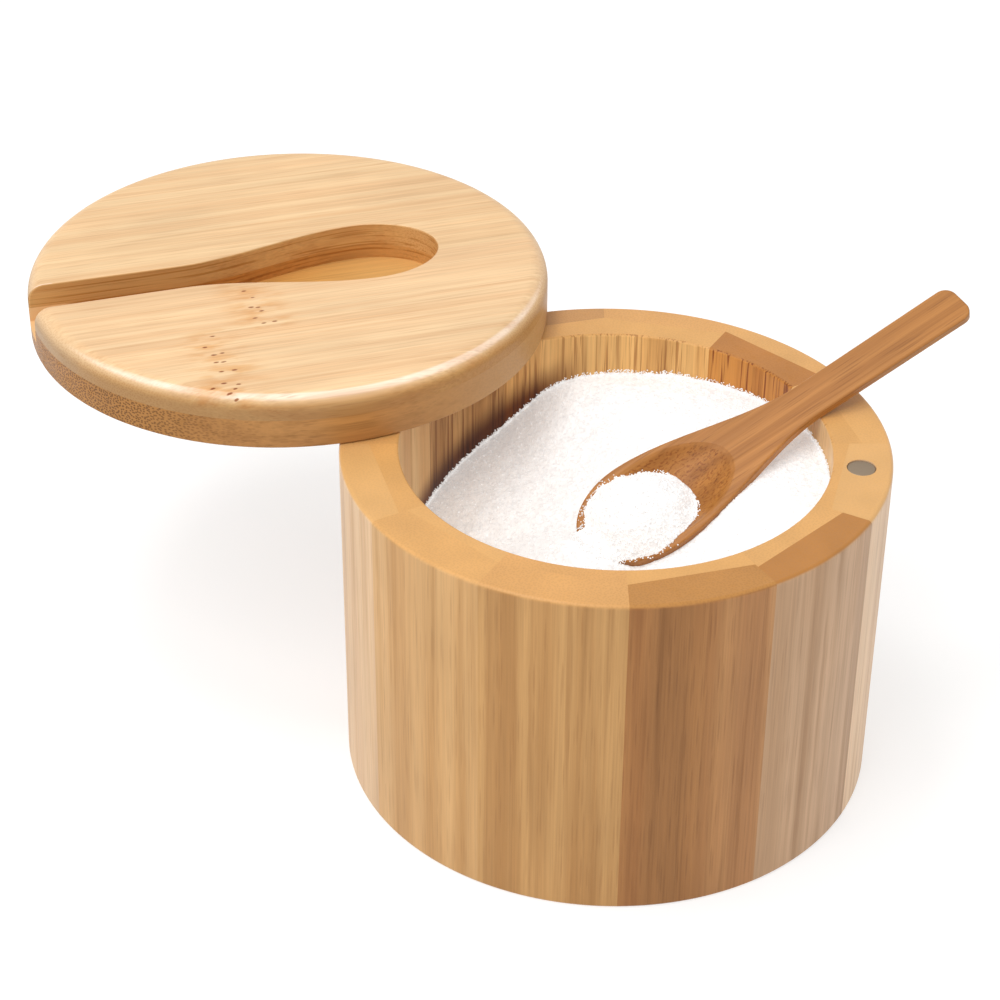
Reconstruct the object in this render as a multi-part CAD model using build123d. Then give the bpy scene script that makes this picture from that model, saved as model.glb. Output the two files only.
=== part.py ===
"""Salt box with a swivelling lid: a round coopered bamboo body, a laminated lid that turns
about one pin at its edge, a magnet that holds it shut, and a small spoon lying in the salt.

Millimetres, +Z up. The origin is the centre of the body's foot. +X points from the lid's pin
to the magnet. The lid stands swung open and the spoon rests on the rim.
"""
from build123d import *
from math import cos, radians, sin, sqrt, tan
import os

# ---------------------------------------------------------------- body
outer_radius = 52.0
wall = 11.2
body_height = 69.4
base_thickness = 8.0
rim_outer_rounding = 0.8
rim_inner_rounding = 0.5
foot_rounding = 0.6
stave_count = 12
first_joint_angle = -79.6
# thickness of each stave's inner ply at its middle, from the first joint round to the left
inner_plies = [3.1, 3.9, 1.8, 4.2, 6.1, 5.2, 5.2, 4.6, 1.9, 4.0, 2.4, 2.9]

# ---------------------------------------------------------------- pin and magnets
pin_setback = 5.9
pin_radius = 2.0
pin_depth_in_body = 20.0
pin_depth_in_lid = 5.6
pin_running_clearance = 0.05
pin_end_clearance = 1.5
pin_end_chamfer = 0.4
magnet_radius = 2.75
magnet_length = 4.0
lid_magnet_length = 3.0
magnet_sink = 0.1

# ---------------------------------------------------------------- lid
lid_overhang = 0.4
lid_gap = 0.2
lid_thickness = 10.9
lid_top_ply = 4.9
lid_top_rounding = 3.4
lid_foot_rounding = 0.3
lid_open_angle = 124.3
strip_count = 6
first_strip_width = 8.8
last_strip_width = 14.8
slot_depth = 7.8
slot_direction = -97.2
slot_offset = 0.6
slot_bowl_reach = 31.2
slot_clearance = 0.4
slot_edge_rounding = 0.4

# ---------------------------------------------------------------- spoon
spoon_length = 89.4
bowl_half_length = 14.6
bowl_half_width = 10.9
bowl_depth = 6.0
bowl_edge = 1.5
tip_thickness = 1.0
taper_length = 38.0
neck_half_width = 4.0
handle_half_width = 4.3
handle_thickness = 2.4
handle_corner = 2.6
hollow_depth = 3.9
hollow_half_width = 9.4
hollow_half_length = 16.1
hollow_front_rim = 1.5
spoon_edge_rounding = 0.4

# the spoon leans on the rim's inner edge, its right-hand lower edge down
spoon_heading = 38.2
spoon_pitch = 20.7
spoon_roll = 14.7
rest_angle = 23.2
rest_reach = 52.4
rest_clearance = 0.15

# ---------------------------------------------------------------- salt
salt_top_drop = 7.0
salt_low_drop = 27.0
salt_middle_drop = 15.0
salt_slope = 24.6
salt_slope_heading = 41.0
salt_nest_gap = 0.4
salt_nest_side_room = 1.2
heap_radius = 9.6
heap_height = 4.2
heap_reach = 11.5

# ---------------------------------------------------------------- worked out from the above
well_radius = outer_radius - wall
pin_circle = outer_radius - pin_setback
stave_angle = 360 / stave_count
lid_radius = outer_radius + lid_overhang
lid_bottom = body_height + lid_gap
lid_top = lid_bottom + lid_thickness
lid_seam = lid_top - lid_top_ply
strip_width = (2 * lid_radius - first_strip_width - last_strip_width) / (strip_count - 2)
FAR = 4 * outer_radius
OVERRUN = 1.0
LEVEL_SLACK = 0.001


def quarter(x, z, radius, start):
    """A quarter circle in the XZ plane about (x, z), from an angle above +X."""
    def on_circle(angle):
        return (x + radius * cos(radians(angle)), 0, z + radius * sin(radians(angle)))

    return ThreePointArc(on_circle(start), on_circle(start + 45), on_circle(start + 90))


def rounded_ring(inner, outer, low, high, outer_top=0, inner_top=0, outer_low=0):
    """A turned ring or disc, its edges rounded by quarter circles where a radius is given."""
    edges = [
        Line((inner, 0, low), (outer - outer_low, 0, low)),
        Line((outer, 0, low + outer_low), (outer, 0, high - outer_top)),
        Line((outer - outer_top, 0, high), (inner + inner_top, 0, high)),
        Line((inner, 0, high - inner_top), (inner, 0, low)),
    ]
    if outer_low:
        edges.append(quarter(outer - outer_low, low + outer_low, outer_low, -90))
    if outer_top:
        edges.append(quarter(outer - outer_top, high - outer_top, outer_top, 0))
    if inner_top:
        edges.append(quarter(inner + inner_top, high - inner_top, inner_top, 90))
    return revolve(make_face(Curve() + edges), Axis.Z, 360)


def level_edges(solid, height):
    """The edges of a solid that lie flat at one height."""
    def lies_there(edge):
        box = edge.bounding_box()
        return abs(box.min.Z - height) < LEVEL_SLACK and abs(box.max.Z - height) < LEVEL_SLACK

    return [edge for edge in solid.edges() if lies_there(edge)]


def drill(x, y, radius, low, high):
    """An upright round cutter from one height to another."""
    return Pos(x, y, (low + high) / 2) * Cylinder(radius, high - low)


# ---------------------------------------------------------------- body pieces
def stave_plies():
    """The coopered wall: wedges with flat glue joints, each of an inner and an outer ply."""
    ring = rounded_ring(well_radius, outer_radius, 0, body_height,
                        rim_outer_rounding, rim_inner_rounding, foot_rounding)
    pin_bore = drill(-pin_circle, 0, pin_radius + pin_running_clearance,
                     body_height - pin_depth_in_body - pin_end_clearance, body_height + OVERRUN)
    magnet_bore = drill(pin_circle, 0, magnet_radius,
                        body_height - magnet_sink - magnet_length, body_height + OVERRUN)
    ring = ring - pin_bore - magnet_bore
    rise = tan(radians(stave_angle / 2)) * FAR
    wedge_outline = make_face(Polyline((0, 0), (FAR, -rise), (FAR, rise), close=True))
    plies = {}
    for number, inner_ply in enumerate(inner_plies, start=1):
        middle = first_joint_angle + (number - 0.5) * stave_angle
        wedge = Rot(0, 0, middle) * extrude(wedge_outline, FAR)
        inside = Rot(0, 0, middle) * Box(2 * (well_radius + inner_ply), FAR, 2 * FAR)
        stave = ring & wedge
        plies[f"stave_{number:02d}_inner_ply"] = stave & inside
        plies[f"stave_{number:02d}_outer_ply"] = stave - inside
    return plies


def base_disc():
    """The round floor, glued inside the ring of staves and level with its foot."""
    return drill(0, 0, well_radius, 0, base_thickness)


def body_magnet():
    """The magnet let into the rim opposite the pin."""
    top = body_height - magnet_sink
    return drill(pin_circle, 0, magnet_radius, top - magnet_length, top)


# ---------------------------------------------------------------- spoon
def spoon_outline(extra, handle_end):
    """The spoon's plan: an elliptic bowl, a smooth taper and a handle, grown by a clearance."""
    half_bowl = bowl_half_width + extra
    half_neck = neck_half_width + extra
    half_end = handle_half_width + extra
    taper_end = bowl_half_length + taper_length
    third = taper_length / 3
    edges = [
        EllipticalCenterArc((bowl_half_length, 0), bowl_half_length + extra, half_bowl,
                            start_angle=90, arc_size=180),
        Line((handle_end, half_end), (handle_end, -half_end)),
    ]
    for side in (1, -1):
        edges.append(Bezier((bowl_half_length, side * half_bowl),
                            (bowl_half_length + third, side * half_bowl),
                            (taper_end - third, side * half_neck),
                            (taper_end, side * half_neck)))
        edges.append(Line((taper_end, side * half_neck), (handle_end, side * half_end)))
    return make_face(Curve() + edges)


def spoon_axis_height():
    """How far above the top face lies the line that the spoon's underside is turned about."""
    sag = bowl_depth - bowl_edge
    return (bowl_half_width ** 2 + sag ** 2) / (2 * sag) - bowl_depth


def spoon_underside():
    """A turned body, a little longer than the spoon, whose lower half is the spoon's underside."""
    height = spoon_axis_height()
    taper_end = bowl_half_length + taper_length
    handle_end = spoon_length + OVERRUN
    third = taper_length / 3
    outline = make_face(Curve() + [
        EllipticalCenterArc((bowl_half_length, -tip_thickness), bowl_half_length,
                            bowl_depth - tip_thickness, start_angle=180, arc_size=90),
        Bezier((bowl_half_length, -bowl_depth), (bowl_half_length + third, -bowl_depth),
               (taper_end - third, -handle_thickness), (taper_end, -handle_thickness)),
        Line((taper_end, -handle_thickness), (handle_end, -handle_thickness)),
        Line((handle_end, -handle_thickness), (handle_end, height)),
        Line((handle_end, height), (0, height)),
        Line((0, height), (0, -tip_thickness)),
    ])
    turned = revolve(Rot(90, 0, 0) * outline, Axis((0, 0, height), (1, 0, 0)), 360)
    # half a turn takes its seam up, out of the half that the spoon keeps
    return Pos(0, 0, 2 * height) * Rot(180, 0, 0) * turned


def hollow_sizes():
    """Half height, half length and middle height of the ellipsoid that makes the scoop."""
    across = (hollow_half_width ** 2 / hollow_depth + hollow_depth) / 2
    height = across - hollow_depth
    along = hollow_half_length / sqrt(1 - (height / across) ** 2)
    return across, along, height


def spoon_hollow():
    """The scoop: an ellipsoid that dips below the top face."""
    across, along, height = hollow_sizes()
    middle = hollow_front_rim + hollow_half_length
    outline = make_face(Curve() + [
        EllipticalCenterArc((middle, height), along, across, start_angle=180, arc_size=180),
        Line((middle - along, height), (middle + along, height)),
    ])
    return revolve(Rot(90, 0, 0) * outline, Axis((0, 0, height), (1, 0, 0)), 360)


def spoon_flat():
    """The spoon lying along +X, its tip at the origin and its flat top face at z = 0."""
    outline = spoon_outline(0, spoon_length)
    corners = [v for v in outline.vertices() if v.X > spoon_length - handle_corner / 2]
    outline = fillet(corners, handle_corner)
    whole = (extrude(outline, -2 * bowl_depth) & spoon_underside()) - spoon_hollow()
    return fillet(level_edges(whole, 0), spoon_edge_rounding)


def heap_flat():
    """The salt in the scoop: a low dome above the top face that fills the hollow below it."""
    ball = (heap_radius ** 2 + heap_height ** 2) / (2 * heap_height)
    column = drill(heap_reach, 0, heap_radius, -bowl_depth, heap_height)
    dome = Pos(heap_reach, 0, heap_height - ball) * Sphere(ball)
    above = dome & drill(heap_reach, 0, heap_radius, 0, heap_height)
    below = spoon_hollow() & column & (Pos(0, 0, -FAR / 2) * Box(FAR, FAR, FAR))
    return above + below


def spoon_place():
    """Where the spoon lies: its lower right edge, part way along, meets the rim's inner edge."""
    turn = Rot(0, 0, spoon_heading) * Rot(0, -spoon_pitch, 0) * Rot(spoon_roll, 0, 0)
    reach = sqrt((spoon_axis_height() + handle_thickness) ** 2 - neck_half_width ** 2)
    edge_thickness = reach - spoon_axis_height()
    rim_point = Pos(well_radius * cos(radians(rest_angle)), well_radius * sin(radians(rest_angle)),
                    body_height + rest_clearance)
    return rim_point * turn * Pos(-rest_reach, neck_half_width, edge_thickness)


# ---------------------------------------------------------------- salt
def salt_fill():
    """The salt in the well: level at the back right, and sloping down to the front left."""
    low = drill(0, 0, well_radius, base_thickness, body_height - salt_low_drop)
    high = drill(0, 0, well_radius, base_thickness, body_height - salt_top_drop)
    under_slope = (Pos(0, 0, body_height - salt_middle_drop) * Rot(0, 0, salt_slope_heading)
                   * Rot(0, -salt_slope, 0) * Pos(0, 0, -FAR / 2) * Box(FAR, FAR, FAR))
    nest_radius = spoon_axis_height() + bowl_depth + salt_nest_side_room
    nest = (spoon_place() * Pos(0, 0, nest_radius - bowl_depth - salt_nest_gap) * Rot(0, 90, 0)
            * Cylinder(nest_radius, 2 * spoon_length))
    return low + (high & under_slope) - nest


# ---------------------------------------------------------------- lid, made shut, centre at x = y = 0
def lid_slot_place():
    """The frame of the lid's spoon slot: x from the bowl's end back along the handle."""
    return (Rot(0, 0, slot_direction) * Pos(slot_bowl_reach - slot_clearance, slot_offset, 0)
            * Rot(0, 0, 180))


def lid_slot(low, high):
    """An upright cutter of the slot's outline, open at the lid's edge."""
    outline = spoon_outline(slot_clearance, 2 * lid_radius)
    return lid_slot_place() * (Pos(0, 0, low) * extrude(outline, high - low))


def lid_base_ply():
    """The lid's thick lower board, with the slot's floor, the pin's bore and the magnet's bore."""
    board = rounded_ring(0, lid_radius, lid_bottom, lid_seam, outer_low=lid_foot_rounding)
    slot = lid_slot(lid_top - slot_depth, lid_top)
    pin_bore = drill(-pin_circle, 0, pin_radius, lid_bottom - OVERRUN, lid_bottom + pin_depth_in_lid)
    magnet_bore = drill(pin_circle, 0, magnet_radius, lid_bottom - OVERRUN,
                        lid_bottom + magnet_sink + lid_magnet_length)
    return board - slot - pin_bore - magnet_bore


def lid_strips():
    """The lid's top ply: strips glued edge to edge, running the way the slot runs."""
    ply = rounded_ring(0, lid_radius, lid_seam, lid_top, outer_top=lid_top_rounding)
    ply = ply - lid_slot(lid_seam - OVERRUN, lid_top + OVERRUN)
    slot_edges = [edge for edge in level_edges(ply, lid_top) if edge.geom_type != GeomType.CIRCLE]
    ply = fillet(slot_edges, slot_edge_rounding)
    strips = {}
    for number in range(1, strip_count + 1):
        seam = first_strip_width - lid_radius + (number - 1) * strip_width
        left = seam if number < strip_count else seam + FAR
        right = seam - strip_width if number > 1 else seam - FAR
        board = Box(FAR, left - right, FAR)
        strip = ply & (Rot(0, 0, slot_direction) * Pos(0, (left + right) / 2, lid_seam) * board)
        strips[f"lid_strip_{number}"] = strip
    return strips


def lid_pin():
    """The steel pin that the lid turns on: fast in the lid, free in the body's bore."""
    pin = drill(-pin_circle, 0, pin_radius, body_height - pin_depth_in_body,
                lid_bottom + pin_depth_in_lid)
    return chamfer(pin.edges(), pin_end_chamfer)


def lid_magnet():
    """The lid's own magnet, over the body's when the lid is shut."""
    low = lid_bottom + magnet_sink
    return drill(pin_circle, 0, magnet_radius, low, low + lid_magnet_length)


# ---------------------------------------------------------------- the whole box, as it stands
swing = Pos(-pin_circle, 0, 0) * Rot(0, 0, lid_open_angle) * Pos(pin_circle, 0, 0)
spoon_at = spoon_place()

pieces = stave_plies()
pieces["base_disc"] = base_disc()
pieces["body_magnet"] = body_magnet()
pieces["salt_fill"] = salt_fill()
lid = {"lid_base_ply": lid_base_ply(), **lid_strips(), "lid_pin": lid_pin(), "lid_magnet": lid_magnet()}
for name, piece in lid.items():
    pieces[name] = swing * piece
pieces["spoon"] = spoon_at * spoon_flat()
pieces["spoon_salt"] = spoon_at * heap_flat()

os.makedirs("parts", exist_ok=True)
for name, piece in pieces.items():
    export_step(piece, f"parts/{name}.step")
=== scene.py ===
# %% [markdown]
# # A round bamboo salt box, a spoon and a well of salt
#
# The box is built like a small barrel: twelve bamboo staves, each of two plies, stand in a
# ring. A laminated lid swings on one pin, and a spoon lies in the salt. All the wood is
# already there as a fixed frame of solids, so this file is about two things: finishes that
# make each solid look like bamboo, and the few pieces that need more than a plain solid,
# which are the loose salt and the little steel magnet.
#
# The frame is loaded first, and nothing in it is ever moved. Sizes come from it where they
# can, in metres.

# %% Load the fixed frame
from random import Random
from math import atan2, cos, exp, pi, radians, sin, sqrt, tan

import bpy
from mathutils import Matrix, Vector, noise
from mathutils.bvhtree import BVHTree


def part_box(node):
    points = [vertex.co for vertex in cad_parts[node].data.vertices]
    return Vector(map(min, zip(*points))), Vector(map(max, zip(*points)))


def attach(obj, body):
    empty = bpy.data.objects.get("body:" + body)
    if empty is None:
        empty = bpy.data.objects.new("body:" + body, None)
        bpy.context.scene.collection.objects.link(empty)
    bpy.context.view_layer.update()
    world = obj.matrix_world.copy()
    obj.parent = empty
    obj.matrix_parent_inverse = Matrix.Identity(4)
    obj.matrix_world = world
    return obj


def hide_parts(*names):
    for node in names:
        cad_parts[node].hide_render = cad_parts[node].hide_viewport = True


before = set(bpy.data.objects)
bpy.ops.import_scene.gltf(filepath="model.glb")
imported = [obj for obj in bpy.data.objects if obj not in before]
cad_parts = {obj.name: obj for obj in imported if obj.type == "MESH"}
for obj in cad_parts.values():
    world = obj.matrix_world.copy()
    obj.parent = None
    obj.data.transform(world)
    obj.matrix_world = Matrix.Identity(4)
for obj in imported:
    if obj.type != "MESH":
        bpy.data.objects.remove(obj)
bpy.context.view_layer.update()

# %% Measure the frame
MM = 0.001
UP = Vector((0, 0, 1))

disc_low, disc_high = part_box("base_disc")
well_radius = (disc_high.x - disc_low.x) / 2
well_floor = disc_high.z
rim_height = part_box("stave_01_outer_ply")[1].z
lid_low, lid_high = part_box("lid_base_ply")
lid_centre = (lid_low + lid_high) / 2
lid_centre.z = 0
lid_radius = (lid_high.x - lid_low.x) / 2
print(f"well radius {well_radius:.4f}, rim {rim_height:.4f}, lid radius {lid_radius:.4f}")

# %% [markdown]
# ## Camera
#
# A camera is added where a person would stand to look down into the well. Its lens is long,
# which keeps upright lines nearly parallel, as in a catalogue picture.

# %% Camera
camera_place = Vector((46.26, -400.71, 326.65)) * MM
camera_turn = (radians(56.144), radians(-0.32), radians(9.876))
camera_lens = 91.4

bpy.ops.object.camera_add(location=camera_place, rotation=camera_turn)
camera = bpy.context.object
camera.data.lens = camera_lens
camera.data.clip_start = 0.01
bpy.context.scene.camera = camera
print("camera", tuple(round(v, 3) for v in camera.location), "lens", camera.data.lens)

# %% [markdown]
# ## Helpers for node trees
#
# Materials here are built from nodes, with a few small helpers. `fill` gives a node's
# sockets their numbers or links, and `put` adds a node and fills it. `maths` does one sum,
# `product` multiplies masks and `less` turns one round. `stretch` multiplies a vector,
# `length_of` measures one and `axes_of` takes one apart. `smooth_noise` is a cloud of
# values, `ease` is a soft switch and `mix` mixes two colours. `new_group` and `use` make a
# node group and place it. `new_finish` and `dress` make a material and put it on a piece.

# %% Helpers: nodes and sums
def fill(tree, node, values):
    """Fills a node's sockets, each with a number or with a link."""
    for socket, value in values.items():
        if isinstance(value, bpy.types.NodeSocket):
            tree.links.new(value, node.inputs[socket])
        else:
            node.inputs[socket].default_value = value


def put(tree, kind, values=None, **settings):
    """Adds a shader node, sets its settings, and fills the sockets that are named."""
    new = tree.nodes.new("ShaderNode" + kind)
    for name, value in settings.items():
        setattr(new, name, value)
    fill(tree, new, values or {})
    return new


def maths(tree, operation, *values):
    """The output of one Math node."""
    return put(tree, "Math", dict(enumerate(values)), operation=operation).outputs[0]


def product(tree, first, *others):
    """Masks or numbers multiplied together."""
    for other in others:
        first = maths(tree, "MULTIPLY", first, other)
    return first


def less(tree, mask):
    """A mask turned round: 1 where it was 0, and 0 where it was 1."""
    return maths(tree, "SUBTRACT", 1.0, mask)


def stretch(tree, vector, scale):
    """A vector multiplied axis by axis."""
    return put(tree, "VectorMath", {0: vector, 1: scale}, operation="MULTIPLY").outputs[0]


def length_of(tree, vector):
    """How long a vector is."""
    return put(tree, "VectorMath", {0: vector}, operation="LENGTH").outputs["Value"]


def axes_of(tree, vector):
    """A vector's X, Y and Z."""
    return put(tree, "SeparateXYZ", {0: vector}).outputs


# %% Helpers: noise, ease and mix
def smooth_noise(tree, vector, detail, scale=1.0, roughness=0.5):
    """Cloudy values from 0 to 1, with more fine ones among them for more detail."""
    return put(tree, "TexNoise", {"Vector": vector, "Scale": scale, "Detail": detail,
                                  "Roughness": roughness}).outputs["Fac"]


def ease(tree, value, low, high, start=0.0, end=1.0):
    """A value taken smoothly from start to end as it goes from low to high."""
    return put(tree, "MapRange", {"Value": value, "From Min": low, "From Max": high,
                                  "To Min": start, "To Max": end},
               interpolation_type="SMOOTHSTEP").outputs[0]


def mix(tree, factor, first, second, blend="MIX"):
    """Two colours mixed by a factor."""
    A, B, RESULT = 6, 7, 2
    new = put(tree, "Mix", {0: factor, A: first, B: second}, data_type="RGBA",
              blend_type=blend)
    return new.outputs[RESULT]


# %% Helpers: groups and materials
def new_group(name, inputs, outputs):
    """An empty shader node group, the sockets that it is given, and its output node."""
    group = bpy.data.node_groups.new(name, "ShaderNodeTree")
    for way, sockets in (("INPUT", inputs), ("OUTPUT", outputs)):
        for label, kind in sockets:
            group.interface.new_socket(label, in_out=way, socket_type="NodeSocket" + kind)
    given = group.nodes.new("NodeGroupInput").outputs
    return group, given, group.nodes.new("NodeGroupOutput")


def use(tree, group, values):
    """A group placed in a tree, with its inputs filled."""
    return put(tree, "Group", values, node_tree=group)


def new_finish(name):
    """A new material, its node tree and its shader."""
    finish = bpy.data.materials.new(name)
    finish.use_nodes = True
    return finish, finish.node_tree, finish.node_tree.nodes["Principled BSDF"]


def dress(piece, finish):
    """Puts a material on a new piece, in place of any that it has."""
    piece.data.materials.clear()
    piece.data.materials.append(finish)


# %% [markdown]
# ## Floor and light
#
# The floor is a wide grey sheet that glows a little. For the camera and for reflections it
# glows more, which lifts it to white, and the box still lays its soft shadow on it. The world
# does the same: it lights the box gently and shows as white. Four square soft lamps stand
# round the box. The ones in front, above and to the left give the shapes their light side,
# and a weak one on the right keeps the far side from going dull.

# %% Floor and world
floor_half_width = 3.0
floor_colour = (0.50, 0.50, 0.50, 1)
floor_glow = 0.28
# the glow that only the camera and reflections see, near the box and far away
near_extra_glow, far_extra_glow = 0.30, 0.75
extra_glow_start, extra_glow_end = 0.4, 1.4

bpy.ops.mesh.primitive_plane_add(size=2 * floor_half_width)
floor = bpy.context.object
floor.name = "floor"


def seen_directly(tree):
    """1 for rays from the camera, or by way of a mirror or glass, and 0 for the rest."""
    path = put(tree, "LightPath")
    seen = maths(tree, "ADD", path.outputs["Is Camera Ray"], path.outputs["Is Glossy Ray"])
    seen = maths(tree, "ADD", seen, path.outputs["Is Transmission Ray"])
    return maths(tree, "MINIMUM", seen, 1.0)


floor_paint = bpy.data.materials.new("white_floor")
floor_paint.use_nodes = True
tree = floor_paint.node_tree
tree.nodes.clear()
matt = put(tree, "BsdfDiffuse", {"Color": floor_colour})
# far from the lamps the sheet glows more, so that it has no grey horizon
away = length_of(tree, put(tree, "TexCoord").outputs["Object"])
extra = ease(tree, away, extra_glow_start, extra_glow_end, near_extra_glow, far_extra_glow)
glow = put(tree, "Emission", {"Strength": maths(tree, "MULTIPLY_ADD", seen_directly(tree),
                                                extra, floor_glow)})
both = put(tree, "AddShader", {0: matt.outputs[0], 1: glow.outputs[0]})
put(tree, "OutputMaterial", {"Surface": both.outputs[0]})
dress(floor, floor_paint)
print("floor with", len(tree.nodes), "nodes")

# %% World
sky_strength = 0.67
backdrop_strength = 1.0

world = bpy.data.worlds.new("studio")
world.use_nodes = True
bpy.context.scene.world = world
tree = world.node_tree
tree.nodes.clear()
lighting, backdrop = (
    put(tree, "Background", {"Color": (1, 1, 1, 1), "Strength": strength}).outputs[0]
    for strength in (sky_strength, backdrop_strength))
both = put(tree, "MixShader", {0: seen_directly(tree), 1: lighting, 2: backdrop})
put(tree, "OutputWorld", {"Surface": both.outputs[0]})
bpy.context.scene.view_settings.view_transform = "Standard"
print("world with", len(tree.nodes), "nodes")

# %% Lamps
lamp_aim = Vector((0, 0, 0.05))
# each lamp's name, its place and width in metres, and its power in watts
for name, place, width, power in (("front_lamp", (-0.28, -0.56, 1.00), 0.50, 3.6),
                                  ("top_lamp", (-0.30, 0.00, 1.10), 0.30, 2.3),
                                  ("left_lamp", (-0.85, -0.60, 0.70), 0.80, 2.7),
                                  ("right_lamp", (0.95, -0.35, 0.85), 0.90, 0.9)):
    away = (Vector(place) - lamp_aim).normalized()
    bpy.ops.object.light_add(type="AREA", location=place,
                             rotation=away.to_track_quat("Z", "Y").to_euler())
    lamp = bpy.context.object
    lamp.name = name
    lamp.data.size = width
    lamp.data.energy = power

# %% [markdown]
# ## What bamboo looks like
#
# A bamboo board is a pale, spongy wood with thin dark bundles of fibre running through it
# from end to end. Along the board they show as streaks and fine dashes, and where it is cut
# across they show as dots. One pattern in space gives both: cells that are drawn out along
# the grain. Wherever a face cuts that pattern, it shows what the real cut would show.
#
# The pattern is a node group, `bamboo`, because every board uses it. It is given the grain's
# own axes: X runs along the grain, and Y and Z across it. It gives back a colour, a height
# for the bump, and a roughness.

# %% Node group: bamboo
bamboo, given, result = new_group(
    "bamboo",
    [("Vector", "Vector"), ("Facing", "Vector"), ("Pale", "Color"), ("Deep", "Color"),
     ("Fibre", "Color"), ("Cut", "Color"), ("Streak Width", "Float"), ("Bundle Size", "Float"),
     ("Streaks", "Float"), ("Dashes", "Float"), ("Dots", "Float"), ("Blotches", "Float")],
    [("Color", "Color"), ("Height", "Float"), ("Roughness", "Float")])
grain = given["Vector"]
band_length, band_width_in_streaks = 200 * MM, 3.6
streak_length = 75 * MM
hair_length, hair_width = 24 * MM, 0.34 * MM
bundle_length = 11 * MM
blotch_length, blotch_width = 30 * MM, 9 * MM
hair_strength = 0.28


def drawn_out(length, width):
    """The grain's axes scaled for a pattern of a given length along it and width across it."""
    across = maths(bamboo, "DIVIDE", 1.0, width)
    scale = put(bamboo, "CombineXYZ", {"X": 1 / length, "Y": across, "Z": across}).outputs[0]
    return stretch(bamboo, grain, scale)


streak_width = given["Streak Width"]
# broad bands, a few streaks wide and longer than a board
band_width = maths(bamboo, "MULTIPLY", streak_width, band_width_in_streaks)
bands = ease(bamboo, smooth_noise(bamboo, drawn_out(band_length, band_width), 2.0), 0.34, 0.66)
# dark streaks, with finer ones among them
streaks = smooth_noise(bamboo, drawn_out(streak_length, streak_width), 3.0, roughness=0.6)
streaks = ease(bamboo, streaks, 0.46, 0.74)
# hair lines, lighter and darker
hairs = maths(bamboo, "SUBTRACT", smooth_noise(bamboo, drawn_out(hair_length, hair_width), 1.0),
              0.5)
# the bundles: long thin cells, each with its own darkness
cells = put(bamboo, "TexVoronoi", {
    "Vector": drawn_out(bundle_length, given["Bundle Size"]),
    "Scale": 1.0, "Randomness": 0.85})
darkness = put(bamboo, "SeparateColor", {"Color": cells.outputs["Color"]}).outputs["Red"]
bundle = ease(bamboo, cells.outputs["Distance"], 0.46, 0.2)
bundle = product(bamboo, bundle, ease(bamboo, darkness, 0.1, 0.9, 0.2, 1.0))
# the bundles' ends: the same cells without the grain's direction, so that each shows whole
cut_place = axes_of(bamboo, drawn_out(1.0, given["Bundle Size"]))
cut_place = put(bamboo, "CombineXYZ", {"X": cut_place["Y"], "Y": cut_place["Z"]})
ends = put(bamboo, "TexVoronoi", {"Vector": cut_place.outputs[0], "Scale": 1.0,
                                  "Randomness": 0.8}, voronoi_dimensions="2D")
dot = ease(bamboo, ends.outputs["Distance"], 0.46, 0.2)

# %% Bamboo: its colour, height and roughness
# how squarely the face cuts across the grain: 0 on a long face, 1 on an end
facing = axes_of(bamboo, given["Facing"])
cut_face = ease(bamboo, maths(bamboo, "ABSOLUTE", facing["X"]), 0.3, 0.8)

wood = mix(bamboo, bands, given["Pale"], given["Deep"])
for mark, strength in ((streaks, "Streaks"), (bundle, "Dashes")):
    wood = mix(bamboo, product(bamboo, mark, given[strength]), wood,
               given["Fibre"])
wood = stretch(bamboo, wood, maths(bamboo, "MULTIPLY_ADD", hairs, hair_strength, 1.0))
end_wood = mix(bamboo, product(bamboo, dot, given["Dots"]),
               given["Cut"], given["Fibre"])
wood = mix(bamboo, cut_face, wood, end_wood)
# slow blotches, lighter and darker, over all of it
blotches = smooth_noise(bamboo, drawn_out(blotch_length, blotch_width), 1.0)
blotches = maths(bamboo, "MULTIPLY_ADD", maths(bamboo, "SUBTRACT", blotches, 0.5),
                 given["Blotches"], 1.0)
# streaks and bundles lie a little low, and streaks are a little rougher
height = maths(bamboo, "MULTIPLY_ADD", streaks, -0.4, 1.0)
height = maths(bamboo, "MULTIPLY_ADD", hairs, 0.8, height)
fill(bamboo, result, {"Color": stretch(bamboo, wood, blotches),
                      "Height": maths(bamboo, "MULTIPLY_ADD", bundle, -0.5, height),
                      "Roughness": maths(bamboo, "MULTIPLY_ADD", streaks, 0.12, 0.40)})
print("group", bamboo.name, "with", len(bamboo.nodes), "nodes")

# %% [markdown]
# ## A board's own axes
#
# Each board was cut from its own stalk, so each gets the pattern turned to its own grain and
# shifted to its own place in it. A Mapping node of the Texture kind does both. The surface's
# normal is turned with it, so that the group can tell a long face from a cut end.

# %% Turned to the grain
def grain_turn(along, depth):
    """The rotation that lays X along the grain and Z through the board's thickness."""
    x = Vector(along).normalized()
    z = Vector(depth).normalized()
    return Matrix((x, z.cross(x), z)).transposed().to_euler()


def in_axes(tree, turn, place):
    """The object's coordinates and its normal, both in axes turned to a board's."""
    whole = put(tree, "TexCoord")
    where = put(tree, "Mapping", {"Vector": whole.outputs["Object"], "Location": place,
                                  "Rotation": turn}, vector_type="TEXTURE")
    facing = put(tree, "Mapping", {"Vector": whole.outputs["Normal"], "Rotation": turn},
                 vector_type="TEXTURE")
    return where.outputs[0], facing.outputs[0]


# %% One bamboo board
board_blotches, board_gloss = 0.24, 0.3
board_bump, board_relief = 0.12, 0.1 * MM


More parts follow.
